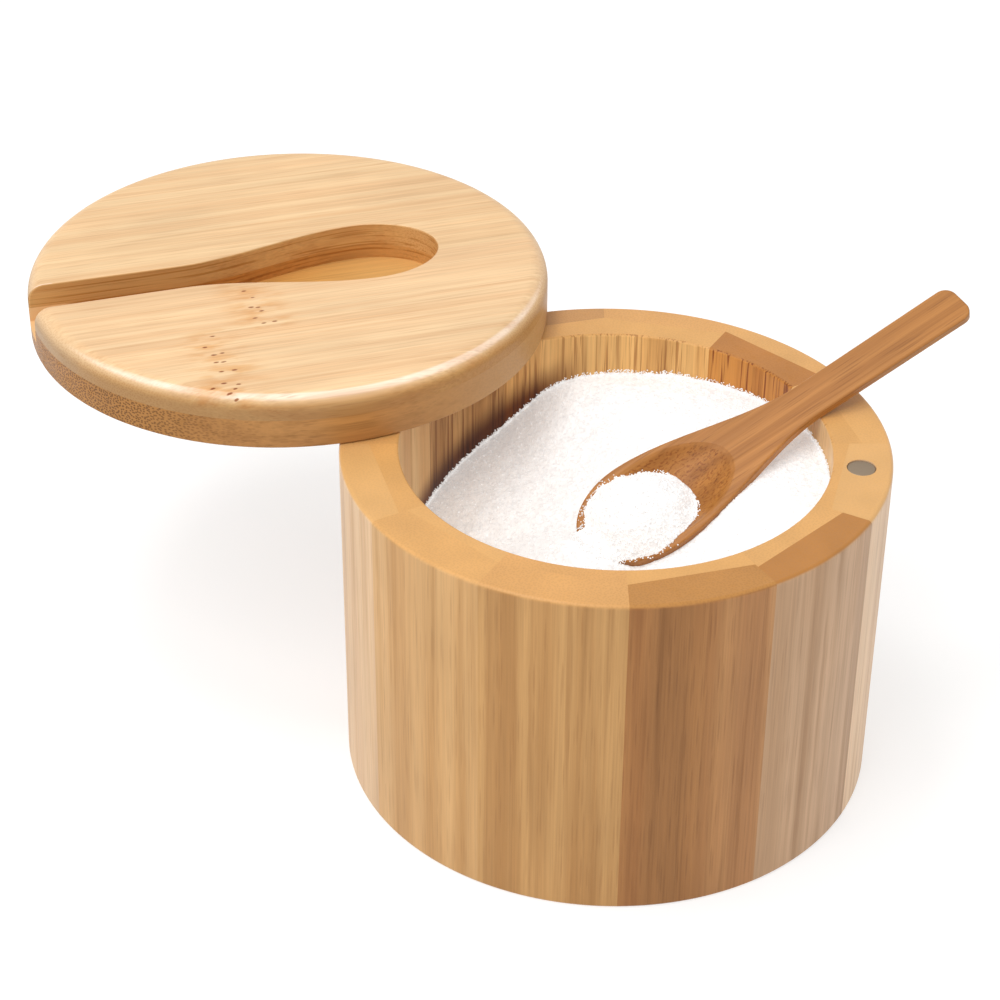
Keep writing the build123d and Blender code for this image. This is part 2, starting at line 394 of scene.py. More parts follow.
def bamboo_board(name, turn, shift, colours, streak_width=1.6 * MM, bundle_size=0.55 * MM,
                 streaks=0.4, dashes=0.25, dots=0.13, marks=None):
    """A bamboo material. colours are the pale wood, the deep wood, the fibre and the cut end.

    marks may be a function that takes the tree and the wood's colour and gives back another.
    """
    board, tree, shader = new_finish(name)
    grain, facing = in_axes(tree, turn, shift)
    pale, deep, fibre, cut = [(*c, 1) for c in colours]
    look = use(tree, bamboo, {"Vector": grain, "Facing": facing,
                              "Pale": pale, "Deep": deep, "Fibre": fibre, "Cut": cut,
                              "Streak Width": streak_width, "Bundle Size": bundle_size,
                              "Streaks": streaks, "Dashes": dashes, "Dots": dots,
                              "Blotches": board_blotches})
    relief = put(tree, "Bump", {"Strength": board_bump, "Distance": board_relief,
                                "Height": look.outputs["Height"]})
    colour = look.outputs["Color"]
    if marks:
        colour = marks(tree, colour)
    fill(tree, shader, {"Base Color": colour, "Roughness": look.outputs["Roughness"],
                        "Normal": relief.outputs[0], "Specular IOR Level": board_gloss})
    return board


def finish_node(name, material):
    """Puts a material on a piece of the frame."""
    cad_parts[name].material_slots[0].material = material


# %% [markdown]
# ## The staves
#
# The ring's staves stand upright, so their grain is upright. Boards differ: some are pale,
# some honey brown. So each ply of each stave has its tone from a list, by its name.

# %% Tones of the staves
# pale wood, deep wood, fibre, cut end
stave_tones = {
    "cream": ((0.84, 0.58, 0.36), (0.74, 0.48, 0.28), (0.50, 0.27, 0.125), (0.69, 0.385, 0.14)),
    "wheat": ((0.75, 0.51, 0.29), (0.66, 0.42, 0.23), (0.44, 0.24, 0.10), (0.69, 0.385, 0.14)),
    "pale": ((0.76, 0.51, 0.28), (0.64, 0.40, 0.19), (0.40, 0.21, 0.08), (0.69, 0.375, 0.13)),
    "golden": ((0.66, 0.39, 0.165), (0.54, 0.29, 0.105), (0.34, 0.16, 0.05),
               (0.68, 0.362, 0.122)),
    "amber": ((0.59, 0.325, 0.12), (0.45, 0.225, 0.073), (0.28, 0.12, 0.034),
              (0.67, 0.347, 0.116)),
    "tan": ((0.63, 0.40, 0.235), (0.49, 0.29, 0.155), (0.31, 0.16, 0.075), (0.45, 0.19, 0.042)),
    "brown": ((0.44, 0.20, 0.063), (0.31, 0.122, 0.034), (0.15, 0.052, 0.012),
              (0.48, 0.22, 0.055)),
    "rust": ((0.63, 0.27, 0.055), (0.51, 0.195, 0.035), (0.25, 0.085, 0.018),
             (0.46, 0.185, 0.038)),
    "honey": ((0.80, 0.52, 0.23), (0.69, 0.40, 0.16), (0.42, 0.20, 0.07), (0.675, 0.357, 0.117)),
    "gold": ((0.84, 0.50, 0.18), (0.72, 0.39, 0.125), (0.38, 0.17, 0.05), (0.68, 0.362, 0.118)),
    "umber": ((0.58, 0.32, 0.115), (0.45, 0.225, 0.072), (0.21, 0.085, 0.023),
              (0.665, 0.347, 0.116)),
    "dusk": ((0.55, 0.30, 0.11), (0.42, 0.21, 0.068), (0.26, 0.11, 0.032), (0.57, 0.29, 0.10)),
}
inner_tones = ["honey", "golden", "honey", "honey", "rust", "gold",
               "gold", "umber", "honey", "honey", "pale", "amber"]
outer_tones = ["brown", "tan", "cream", "pale", "golden", "amber",
               "dusk", "golden", "golden", "wheat", "golden", "amber"]
print(len(stave_tones), "tones for", len(inner_tones + outer_tones), "plies")

# %% [markdown]
# The saw that cut each stave's inner face left the bundles torn there, so the wall of the
# well is lined with thin dark scratches that run up and down. Painted shade also darkens
# the wood just above the salt, where the salt slopes down on the left. Both belong to that
# face alone, so a mask keeps them to it: the points that lie on the well's own radius. The
# group `well_wall` gives back a mask for the scratches and one for the painted shade.

# %% Node group: the wall of the well
salt_middle = rim_height - 16.1 * MM
salt_slope = tan(radians(24.6))
salt_slope_heading = radians(41)
painted_shade_reach = 7.0 * MM
# the painted shade fades in over these X, towards the left
painted_shade_start, painted_shade_full = -8 * MM, -22 * MM
# the wall's marks end between these distances behind its face
wall_skin, skin_end = 0.3 * MM, 0.6 * MM
# how many scratches, and clumps of them, lie in a metre along X, along Y and upwards
scratch_scale = (2300, 2300, 55)
clump_scale = (260, 260, 12)
well_wall, given, result = new_group("well_wall", [("Vector", "Vector"), ("Density", "Float")],
                                     [("Scratches", "Float"), ("Painted Shade", "Float")])
place = given["Vector"]
from_axis = length_of(well_wall, stretch(well_wall, place, (1, 1, 0)))
on_wall = ease(well_wall, from_axis, well_radius + skin_end, well_radius + wall_skin)
lines = smooth_noise(well_wall, stretch(well_wall, place, scratch_scale), 2.0)
clumps = smooth_noise(well_wall, stretch(well_wall, place, clump_scale), 1.0)
clumps = maths(well_wall, "ADD", clumps, given["Density"])
scratches = product(well_wall, ease(well_wall, lines, 0.5, 0.63),
                    ease(well_wall, clumps, 0.38, 0.62), on_wall)
# how far a point is above the sloping salt: z less the slope's height there
downhill = Vector((-cos(salt_slope_heading), -sin(salt_slope_heading), 0)) * salt_slope
above = put(well_wall, "VectorMath", {0: place, 1: downhill + UP},
            operation="DOT_PRODUCT").outputs["Value"]
# painted shade: the wall darkens just above the sloping salt, on the left
painted_shade = ease(well_wall, maths(well_wall, "SUBTRACT", above, salt_middle), painted_shade_reach, 0.0)
on_left = axes_of(well_wall, place)["X"]
painted_shade = product(well_wall, painted_shade, ease(well_wall, on_left, painted_shade_start, painted_shade_full), on_wall)
fill(well_wall, result, {"Scratches": scratches, "Painted Shade": painted_shade})
print("group", well_wall.name, "with", len(well_wall.nodes), "nodes")

# %% Scratches and painted shade on a stave
scratch_tint = (0.42, 0.26, 0.15, 1)
# the colour of the painted shade just above the salt
painted_shade_tint = (0.20, 0.09, 0.025, 1)


def scratches_and_shade(strength):
    """A function that lays the scratches and the painted shade over a stave's face to the well."""
    def lay(tree, colour):
        place = put(tree, "TexCoord").outputs["Object"]
        masks = use(tree, well_wall, {"Vector": place, "Density": 0.3 * strength - 0.15})
        dark = product(tree, masks.outputs["Scratches"], strength)
        colour = mix(tree, dark, colour, scratch_tint, "MULTIPLY")
        return mix(tree, masks.outputs["Painted Shade"], colour, painted_shade_tint, "MULTIPLY")
    return lay


# %% One stave's dark band
# its outside has a dark band to the left of its middle and is paler and bluer to the right of
# it; these places are measured across it from its middle
shaded_stave = 1
band_start, band_full, band_fading, band_end = -11 * MM, -8 * MM, -4 * MM, 1 * MM
right_pale_start, right_pale_full = -2 * MM, 11 * MM
band_tint = (0.80, 0.78, 0.76, 1)
right_pale_tint = (1.48, 1.74, 2.30, 1)


def shaded_across(sideways):
    """A function that lays the dark band and the paler, bluer part over a stave's outside."""
    def lay(tree, colour):
        whole = put(tree, "TexCoord")
        across = put(tree, "VectorMath", {0: whole.outputs["Object"], 1: sideways},
                     operation="DOT_PRODUCT").outputs["Value"]
        # the rim's end grain above keeps its colour
        upward = axes_of(tree, whole.outputs["Normal"])["Z"]
        outside = ease(tree, upward, 0.6, 0.2)
        band = product(tree, ease(tree, across, band_start, band_full),
                       ease(tree, across, band_end, band_fading), outside)
        right_pale = product(tree, ease(tree, across, right_pale_start, right_pale_full), outside)
        colour = mix(tree, band, colour, band_tint, "MULTIPLY")
        return mix(tree, right_pale, colour, right_pale_tint, "MULTIPLY")
    return lay


# %% Staves and base disc
first_joint = radians(-79.6)
stave_count = 12
stave_angle = radians(360 / stave_count)
# how strongly each stave is scratched, counted from the front
scratch_strengths = [0.4, 0.5, 0.4, 0.4, 1.0, 0.7, 0.7, 0.8, 0.15, 0.3, 0.4, 0.4]
streakiness = {"golden": 0.24, "wheat": 0.24, "honey": 0.3}
for number in range(1, stave_count + 1):
    middle = first_joint + (number - 0.5) * stave_angle
    outward = (cos(middle), sin(middle), 0)
    turn = grain_turn(UP, outward)
    for ply, tones, shift in (("inner", inner_tones, 0.31), ("outer", outer_tones, 0.17)):
        tone = tones[number - 1]
        marks = scratches_and_shade(scratch_strengths[number - 1]) if ply == "inner" else None
        if ply == "outer" and number == shaded_stave:
            marks = shaded_across((-sin(middle), cos(middle), 0))
        material = bamboo_board(f"bamboo_{number:02d}_{ply}", turn,
                                (shift * number, 0.23 * number, 0.11 * number),
                                stave_tones[tone], streaks=streakiness.get(tone, 0.4),
                                marks=marks)
        finish_node(f"stave_{number:02d}_{ply}_ply", material)

finish_node("base_disc", bamboo_board("bamboo_base", grain_turn((1, 0, 0), UP), (0, 0.4, 0),
                                      stave_tones["golden"]))
print("finished", stave_count, "staves and the base disc")

# %% [markdown]
# ## Marks on the lid
#
# The slot was routed out, and the cutter warmed the wood, so the slot's walls are browner
# than the face. The face also shows a bamboo stalk's nodes, the rings where its leaves grew:
# each is a row of small dark pits across the grain with a faint brown stain round it. The
# group `lid_marks` works in the slot's own axes, from the middle of the lid: X along the
# slot and Y across it. It gives back a mask for each kind of mark.

# %% Where the marks lie
slot_heading = radians(27.1)
lid_turn = grain_turn((cos(slot_heading), sin(slot_heading), 0), UP)
slot_inside_radius = lid_radius - 4.5 * MM
slot_half_room = 8 * MM
pit_size = 0.34 * MM
stain_reach = 4.2 * MM
# where the pits of the two rows lie, in millimetres along and across the slot
pit_places = (
    (-11.2, -5.2), (-11.2, -8.9), (-10.1, -11.9), (-11.2, -15.6), (-9.9, -16.0), (-9.6, -17.6),
    (-11.4, -20.0), (-10.2, -22.4), (-8.0, -22.3), (-20.8, -24.6), (-23.0, -28.3), (-22.0, -31.6),
    (-20.3, -31.3), (-20.7, -34.6), (-22.2, -34.4), (-21.9, -38.0), (-19.4, -38.1),
    (-22.4, -42.3), (-24.7, -43.4), (-19.8, -43.4), (-20.8, -44.8), (-22.0, -45.6),
    (-21.0, -47.0), (-23.6, -47.6))
print("pits", len(pit_places))

# %% Node group: lid marks
lid_marks, given, result = new_group(
    "lid_marks", [("Vector", "Vector"), ("Facing", "Vector")],
    [(mark, "Float") for mark in ("Wall", "Floor", "Edge", "Pits", "Stain", "Burn", "Mouth",
                                  "End", "End Edge", "Highlight", "Side")])
lid_place = given["Vector"]
flat_place = stretch(lid_marks, lid_place, (1, 1, 0))
on_lid = axes_of(lid_marks, lid_place)
facing = axes_of(lid_marks, given["Facing"])
up, side_on = facing["Z"], facing["Y"]


def give(mark, *masks):
    """Gives back the product of some masks as one kind of mark."""
    fill(lid_marks, result, {mark: product(lid_marks, *masks)})


# the slot: inside the lid's edge, and at its mouth where the wall faces across
inside = ease(lid_marks, length_of(lid_marks, flat_place), slot_inside_radius,
              slot_inside_radius - 1 * MM)
near_slot = ease(lid_marks, maths(lid_marks, "ABSOLUTE", on_lid["Y"]),
                 slot_half_room + 1 * MM, slot_half_room)
squarely = ease(lid_marks, maths(lid_marks, "ABSOLUTE", side_on), 0.7, 0.85)
in_mouth = product(lid_marks, near_slot, squarely)
outside, off_mouth = less(lid_marks, inside), less(lid_marks, in_mouth)
sideways = ease(lid_marks, maths(lid_marks, "ABSOLUTE", up), 0.75, 0.5)
wall = product(lid_marks, sideways, maths(lid_marks, "MAXIMUM", inside, in_mouth))
give("Wall", wall)
flat_up = ease(lid_marks, up, 0.8, 0.95)
# painted light: on the board under the strips, the slot's floor is made lighter where it faces up
give("Floor", flat_up)
# burnt lines along the walls
burn = smooth_noise(lid_marks, stretch(lid_marks, lid_place, (28, 200, 1900)), 2.0)
give("Burn", wall, ease(lid_marks, burn, 0.5, 0.66))
# painted light: a lighter orange laid over the floor and walls of the slot's mouth
mouth = ease(lid_marks, on_lid["X"], -42 * MM, -46 * MM)
give("Mouth", maths(lid_marks, "MAXIMUM", flat_up, wall), mouth)

# %% Lid marks: rounding and far end
# painted shade: the rounding is darkened as it turns down from the face
give("Edge", ease(lid_marks, up, 0.85, 0.1), outside, off_mouth)
# a painted highlight along the top of the rounding on the near side
give("Highlight", ease(lid_marks, up, 0.97, 0.90), ease(lid_marks, up, 0.62, 0.80),
     ease(lid_marks, side_on, -0.2, -0.42), outside)
# painted shade: the foot of the rounding along the grain is darkened, and browned like the board
# under it
give("Side", ease(lid_marks, maths(lid_marks, "ABSOLUTE", side_on), 0.25, 0.6),
     ease(lid_marks, up, 0.70, 0.36), outside, off_mouth)
# the paler wood at the far end, on the board under the strips; on their rounding there a
# lighter tint, which also weakens the painted shade of the edge
end_strength = 0.8
end = ease(lid_marks, on_lid["X"], -5 * MM, 35 * MM)
give("End", end, end_strength)
give("End Edge", ease(lid_marks, up, 0.9, 0.2), end, outside)

# %% Lid marks: pits and stain
# pits are a little longer along the grain than across it, and no two are the same
ragged = maths(lid_marks, "MULTIPLY_ADD", smooth_noise(lid_marks, lid_place, 2.0, 900.0),
               1.4, 0.3)
nearest = 1.0
for along, across in pit_places:
    away = put(lid_marks, "VectorMath", {0: flat_place, 1: (along * MM, across * MM, 0)},
               operation="SUBTRACT").outputs[0]
    far = length_of(lid_marks, stretch(lid_marks, away, (0.5, 1, 0)))
    nearest = maths(lid_marks, "MINIMUM", nearest, far)
pits = ease(lid_marks, maths(lid_marks, "DIVIDE", nearest, ragged), pit_size, pit_size * 0.4)
# the rows are on the face and its rounding, and don't run down the slot's wall
on_face = ease(lid_marks, up, 0.1, 0.35)
give("Pits", pits, on_face)
cloud = smooth_noise(lid_marks, stretch(lid_marks, lid_place, (0.35, 1, 1)), 3.0, 420.0)
give("Stain", ease(lid_marks, nearest, stain_reach, 0.0), ease(lid_marks, cloud, 0.4, 0.62),
     on_face)
print("group", lid_marks.name, "with", len(lid_marks.nodes), "nodes")

# %% [markdown]
# ## The lid
#
# The lid's boards all run the way the slot runs. Its top ply is pale and fine-grained, a
# shade darker in the three strips beyond the slot, and the thick board under it is browner.
# Both take the marks above. Most marks are a tint that multiplies the wood, so that the
# grain still shows through. Some are painted light and shade: the rounding darkens as it
# turns down, its near top has a painted highlight, and the slot's floor is lightened. Two
# are laid on as a colour: the paler wood at the far end of the board, and painted light, a
# lighter orange, in the slot's mouth.

# %% Marks laid over a board
burn_tint = (0.74, 0.62, 0.46, 1)
laid_on = ("End", "Mouth")


def marked(marks):
    """A function that lays marks over a board, in order: each is a mask and its colour."""
    def lay(tree, colour):
        place, facing = in_axes(tree, lid_turn, tuple(lid_centre))
        masks = use(tree, lid_marks, {"Vector": place, "Facing": facing})
        for mask, tint in marks.items():
            blend = "MIX" if mask in laid_on else "MULTIPLY"
            colour = mix(tree, masks.outputs[mask], colour, tint, blend)
        return colour
    return lay


strip_marks = marked({
    "Stain": (0.88, 0.70, 0.50, 1), "Pits": (0.36, 0.16, 0.05, 1),
    # painted shade on the rounding: darker as it turns down, and at its foot along the grain
    "Edge": (0.62, 0.58, 0.53, 1), "Side": (0.90, 0.78, 0.57, 1),
    # a lighter rounding at the far end, and a painted highlight on the near rounding's top
    "End Edge": (1.16, 1.10, 0.94, 1), "Highlight": (1.20, 1.38, 1.90, 1),
    "Wall": (0.84, 0.70, 0.47, 1), "Burn": burn_tint})
under_marks = marked({
    # the Floor tint is painted light on the slot's floor
    "End": (0.57, 0.325, 0.13, 1), "Floor": (1.30, 1.33, 1.15, 1),
    # the Mouth colour is painted light, a lighter orange in the slot's mouth
    "Wall": (1.14, 1.05, 0.85, 1), "Burn": burn_tint, "Mouth": (0.80, 0.50, 0.24, 1)})

# %% Lid
near_tone = ((0.82, 0.57, 0.32), (0.75, 0.48, 0.253), (0.56, 0.29, 0.13), (0.76, 0.52, 0.29))
far_tone = ((0.79, 0.543, 0.294), (0.723, 0.457, 0.232), (0.54, 0.28, 0.12), (0.76, 0.52, 0.29))
strip_tones = [near_tone] * 3 + [far_tone] * 3
under_tone = ((0.50, 0.24, 0.072), (0.40, 0.18, 0.052), (0.14, 0.05, 0.006), (0.42, 0.185, 0.04))
for number, tone in enumerate(strip_tones, start=1):
    finish_node(f"lid_strip_{number}",
                bamboo_board(f"bamboo_strip_{number}", lid_turn, (0.4 * number, 0.3 * number, 0),
                             tone, streak_width=0.8 * MM, bundle_size=0.42 * MM,
                             streaks=0.28, dashes=0.3, dots=0.42, marks=strip_marks))
finish_node("lid_base_ply", bamboo_board("bamboo_under", lid_turn, (0.2, 0.1, 0.5), under_tone,
                                         bundle_size=0.5 * MM, dots=0.95, marks=under_marks))
print("finished", len(strip_tones), "strips and their board")

# %% [markdown]
# ## The spoon
#
# The spoon is carved from one board of browner bamboo, so its grain follows the handle.

# %% Spoon
spoon_heading, spoon_pitch, spoon_roll = (radians(a) for a in (38.2, 20.7, 14.7))
spoon_tip = Vector((-3.88, -12.12, 53.52)) * MM
spoon_frame = (Matrix.Translation(spoon_tip) @ Matrix.Rotation(spoon_heading, 4, "Z")
               @ Matrix.Rotation(-spoon_pitch, 4, "Y") @ Matrix.Rotation(spoon_roll, 4, "X"))
spoon_tone = ((0.465, 0.198, 0.050), (0.36, 0.142, 0.032), (0.18, 0.062, 0.014),
              (0.32, 0.130, 0.032))
hollow_tint = (0.90, 0.84, 0.62, 1)
speck_tint = (0.72, 0.58, 0.44, 1)
speck_scale = (1300, 2800, 2800)
hollow_skin = 0.25 * MM


def scooped(tree, colour):
    """Darkens the scoop, where the cutter crossed the grain and left it open and rough."""
    grain, facing = in_axes(tree, spoon_frame.to_euler(), tuple(spoon_tip))
    deep = ease(tree, axes_of(tree, grain)["Z"], -hollow_skin, -3 * hollow_skin)
    upward = ease(tree, axes_of(tree, facing)["Z"], 0.1, 0.3)
    mask = product(tree, deep, upward)
    colour = mix(tree, mask, colour, hollow_tint, "MULTIPLY")
    specks = smooth_noise(tree, stretch(tree, grain, speck_scale), 1.0)
    specks = product(tree, ease(tree, specks, 0.54, 0.66), mask)
    return mix(tree, specks, colour, speck_tint, "MULTIPLY")


finish_node("spoon", bamboo_board("bamboo_spoon", spoon_frame.to_euler(), tuple(spoon_tip),
                                  spoon_tone, streak_width=0.6 * MM, bundle_size=0.45 * MM,
                                  streaks=0.2, dashes=0.45, dots=0.3, marks=scooped))
print("spoon's grain runs", [round(v, 2) for v in spoon_frame.to_3x3().col[0]])

# %% [markdown]
# ## The magnet in the rim
#
# A steel-plated disc magnet sits in the rim and holds the lid shut. Such magnets are pressed
# and plated, so their edges are round. A cylinder of the frame's size gets a small bevel.

# %% Magnet
magnet_low, magnet_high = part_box("body_magnet")
magnet_size = magnet_high - magnet_low
magnet_bevel = 0.35 * MM

bpy.ops.object.select_all(action="DESELECT")
bpy.ops.mesh.primitive_cylinder_add(vertices=72, radius=magnet_size.x / 2, depth=magnet_size.z,
                                    location=(magnet_low + magnet_high) / 2)
magnet = bpy.context.object
magnet.name = "rim_magnet"
bpy.ops.object.transform_apply(location=True, rotation=False, scale=False)
rounding = magnet.modifiers.new("rounding", "BEVEL")
rounding.width = magnet_bevel
rounding.segments = 3
rounding.limit_method = "ANGLE"
bpy.ops.object.modifier_apply(modifier="rounding")
bpy.ops.object.shade_smooth_by_angle(angle=radians(40))
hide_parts("body_magnet")
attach(magnet, "body")
print("magnet", [round(v / MM, 2) for v in magnet_size], "mm")

# %% [markdown]
# Both magnets and the pin are bare metal, dulled unevenly by handling. The group
# `metal_wear` gives back a roughness that drifts in faint clouds.

# %% Metal finishes
metal_shine = 0.85
wear_strength = 0.12

metal_wear, given, result = new_group("metal_wear", [("Vector", "Vector"), ("Even", "Float")],
                                      [("Roughness", "Float")])
clouds = smooth_noise(metal_wear, given["Vector"], 3.0, 700.0)
clouds = ease(metal_wear, clouds, 0.3, 0.7, 0.0, wear_strength)
fill(metal_wear, result, {"Roughness": maths(metal_wear, "ADD", clouds, given["Even"])})


def metal(name, colour, roughness):
    """A metal finish with faint cloudy wear."""
    finish, tree, shader = new_finish(name)
    place = put(tree, "TexCoord").outputs["Object"]
    wear = use(tree, metal_wear, {"Vector": place, "Even": roughness})
    fill(tree, shader, {"Base Color": (*colour, 1), "Metallic": metal_shine,
                        "Roughness": wear.outputs["Roughness"]})
    return finish


magnet_plate = metal("magnet_plate", (0.30, 0.23, 0.16), 0.42)
dress(magnet, magnet_plate)
finish_node("lid_magnet", magnet_plate)
finish_node("lid_pin", metal("pin_steel", (0.55, 0.55, 0.56), 0.3))
print("group", metal_wear.name, "with", len(metal_wear.nodes), "nodes")

# %% [markdown]
# ## The salt in the well
#
# Loose salt is a surface with thousands of small crystals on it. The surface lies level at
# the back, slopes down to the left under the lid with a shallow dent against the wall, and
# is heaped a little against the spoon's tip. It starts as a grid that is drawn out into a
# disc, so that its rim is a true circle and fits the wall. Then each point is set to the
# height of the salt there, as a sculptor would push it, and a skirt is extruded down to
# close the piece.

# %% How high the salt lies
level_drop = 8.4 * MM
level_rise = 0.06
level_blend = 2.0 * MM
mound_top = rim_height - 15.8 * MM
mound_place = Vector((-2.5, -13.5, 0)) * MM
mound_flat_radius = 5.0 * MM
mound_fall = 0.5
dent_heading = radians(138)
dent_place = Vector((cos(dent_heading), sin(dent_heading), 0)) * well_radius
dent_depth = 2.1 * MM
dent_reach = 13.0 * MM
wall_gap = 0.06 * MM
spoon_sink = 0.15 * MM
bed_seed = 3
# the width and height of the lumps of each size, in millimetres
salt_lumps = ((9.0, 0.55), (2.6, 0.22), (0.75, 0.13))


def smooth_least(a, b, blend):
    """The lesser of two heights, with the corner between them rounded."""
    h = max(blend - abs(a - b), 0) / blend
    return min(a, b) - h * h * blend / 4


def mesh_tree(name):
    """A frame node's mesh, ready for rays to be cast at it."""
    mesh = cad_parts[name].data
    return BVHTree.FromPolygons([v.co for v in mesh.vertices],
                                [tuple(p.vertices) for p in mesh.polygons])


spoon_wood = mesh_tree("spoon")


# %% The salt's height at one place
def roughness_of_salt(x, y, seed):
    """Hollows and lumps in loose salt, from a centimetre down to a few grains across."""
    place = Vector((x, y, seed * MM)) / MM
    return sum(noise.noise(place / width) * height for width, height in salt_lumps) * MM


def salt_height(x, y):
    """The height of the salt in the well at one place, in the spoon's absence."""
    climb = x * cos(salt_slope_heading) + y * sin(salt_slope_heading)
    slope = salt_middle + salt_slope * climb
    level = rim_height - level_drop + level_rise * x
    surface = smooth_least(slope, level, level_blend)
    away = (Vector((x, y, 0)) - mound_place).length
    mound = mound_top - mound_fall * max(0.0, away - mound_flat_radius)
    surface = -smooth_least(-surface, -mound, level_blend)
    dent = dent_depth * exp(-((Vector((x, y, 0)) - dent_place).length / dent_reach) ** 2)
    return surface - dent + roughness_of_salt(x, y, bed_seed)


def bed_height(x, y):
    """The same, with the spoon pressed into it."""
    surface = salt_height(x, y)
    hit = spoon_wood.ray_cast(Vector((x, y, 0)), UP)[0]
    return min(surface, hit.z - spoon_sink) if hit else surface


# %% Discs made from grids
def new_grid(name, cells):
    """A square of small cells, from -1 to 1 both ways."""
    bpy.ops.object.select_all(action="DESELECT")
    bpy.ops.mesh.primitive_grid_add(x_subdivisions=cells, y_subdivisions=cells, size=2)
    bpy.context.object.name = name
    return bpy.context.object


def drawn_round(point):
    """Where a point of that square goes when it is drawn out evenly into a disc."""
    return point.x * sqrt(1 - point.y ** 2 / 2), point.y * sqrt(1 - point.x ** 2 / 2)


def face_outwards():
    """Turns the faces of the piece in hand outwards and shades them smooth."""
    bpy.ops.object.mode_set(mode="EDIT")
    bpy.ops.mesh.select_all(action="SELECT")
    bpy.ops.mesh.normals_make_consistent(inside=False)
    bpy.ops.object.mode_set(mode="OBJECT")
    bpy.ops.object.shade_smooth()


# %% Salt bed
bed_cells = 210
bed_radius = well_radius - wall_gap

bed = new_grid("salt_bed", bed_cells)
for vertex in bed.data.vertices:
    x, y = drawn_round(vertex.co)
    x, y = x * bed_radius, y * bed_radius
    vertex.co = (x, y, bed_height(x, y))
bpy.ops.object.mode_set(mode="EDIT")
bpy.ops.mesh.select_all(action="SELECT")
bpy.ops.mesh.region_to_loop()
bpy.ops.mesh.extrude_edges_move()
bpy.ops.transform.resize(value=(1, 1, 0), center_override=(0, 0, well_floor))
bpy.ops.mesh.edge_face_add()
face_outwards()
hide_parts("salt_fill")
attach(bed, "body")
print("salt bed", len(bed.data.vertices), "points")

# %% [markdown]
# ## The heap in the spoon
#
# A spoonful of salt is a low dome, with a little lobe that buries the spoon's tip. It is
# made as a second disc in the spoon's own axes. The disc first follows the wood, a hair
# under its surface, out to the spoon's edge in every direction. It is then extruded once,
# and the new points are raised to the dome, so that the salt fills the scoop and meets the
# wood in a natural, uneven line.

# %% The shape of the heap
heap_middle = Vector((11.4, -0.5, 0)) * MM
heap_radius = 9.45 * MM
heap_height = 4.1 * MM
lobe_middle = Vector((1.2, -2.4, 0)) * MM
lobe_flat_radius = 4.0 * MM
lobe_height = 0.9 * MM
lobe_fall = 0.5
heap_sink = 0.25 * MM
heap_wobble = 0.07
heap_wobble_width = 3.0 * MM
heap_grain = 0.8
heap_seed = 40
above_spoon = 20 * MM
spoon_up = (spoon_frame.to_3x3() @ UP).normalized()
to_spoon = spoon_frame.inverted()


def wood_height(x, y):
    """The height of the wood above or below the spoon's top face, or None beside it."""
    start = spoon_frame @ Vector((x, y, above_spoon))
    hit = spoon_wood.ray_cast(start, -spoon_up)[0]
    return (to_spoon @ hit).z if hit else None


def heap_top(x, y):
    """The height of the heap above the spoon's top face."""
    here = Vector((x, y, 0))
    wobble = 1 + heap_wobble * noise.noise(here / heap_wobble_width)
    share = (here - heap_middle).length / (heap_radius * wobble)
    dome = heap_height * (1 - share ** 2)
    past_lobe = max(0.0, (here - lobe_middle).length - lobe_flat_radius)
    lobe = lobe_height - lobe_fall * past_lobe
    return max(dome, lobe) + roughness_of_salt(x, y, heap_seed) * heap_grain


# %% How far the heap reaches
edge_step = 0.1 * MM
edge_inset = 0.45 * MM
tip_lip = 0.3 * MM
reach_limit = 13 * MM
bury_depth = 0.5 * MM


def heap_reach(heading):
    """How far the heap's disc may go one way: to the spoon's edge, or a little past its tip."""
    step = Vector((cos(heading), sin(heading), 0)) * edge_step
    here = heap_middle.copy()
    while wood_height(here.x, here.y) is not None and (here - heap_middle).length < reach_limit:
        here += step
    buried = min(1.0, max(0.0, heap_top(here.x, here.y) / bury_depth))
    return (here - heap_middle).length + tip_lip * buried - edge_inset * (1 - buried)


reaches = [heap_reach(radians(d)) for d in range(-3, 364)]
# each reach is the mean of seven neighbours, which leaves no steps in the edge
reaches = [sum(reaches[d:d + 7]) / 7 for d in range(361)]
print(f"the heap reaches {min(reaches) / MM:.1f} to {max(reaches) / MM:.1f} mm")

# %% Salt in the spoon
heap_cells = 80
lip_thickness = 1.4 * MM
lip_fall = 0.9 * MM
first_lift = 0.05 * MM

heap = new_grid("spoonful_of_salt", heap_cells)
for vertex in heap.data.vertices:
    x, y = drawn_round(vertex.co)
    degrees = atan2(y, x) * 180 / pi % 360
    whole = int(degrees)
    reach = reaches[whole] + (reaches[whole + 1] - reaches[whole]) * (degrees - whole)
    x, y = x * reach + heap_middle.x, y * reach + heap_middle.y
    wood = wood_height(x, y)
    low = heap_top(x, y) - lip_thickness if wood is None else wood - heap_sink
    vertex.co = (x, y, low)
bpy.ops.object.mode_set(mode="EDIT")
bpy.ops.mesh.select_all(action="SELECT")
bpy.ops.mesh.extrude_region_move(TRANSFORM_OT_translate={"value": (0, 0, first_lift)})
bpy.ops.object.mode_set(mode="OBJECT")
for vertex in heap.data.vertices:
    if vertex.select:
        top = heap_top(vertex.co.x, vertex.co.y)
        if wood_height(vertex.co.x, vertex.co.y) is None:
            top -= lip_fall
        vertex.co.z = max(vertex.co.z, top)
heap.data.transform(spoon_frame)
face_outwards()
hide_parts("spoon_salt")
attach(heap, "spoon_body")
print("heap", len(heap.data.vertices), "points")

# %% [markdown]
# ## Crystals
#
# Up close salt is thousands of small broken cubes, which sparkle and make its edges ragged.
# One crystal is modelled: a cube with two corners cut off. A small Geometry Nodes modifier
# sets a copy of it on each point of a cloud, turned and sized at random from a fixed seed,
# and is then applied.

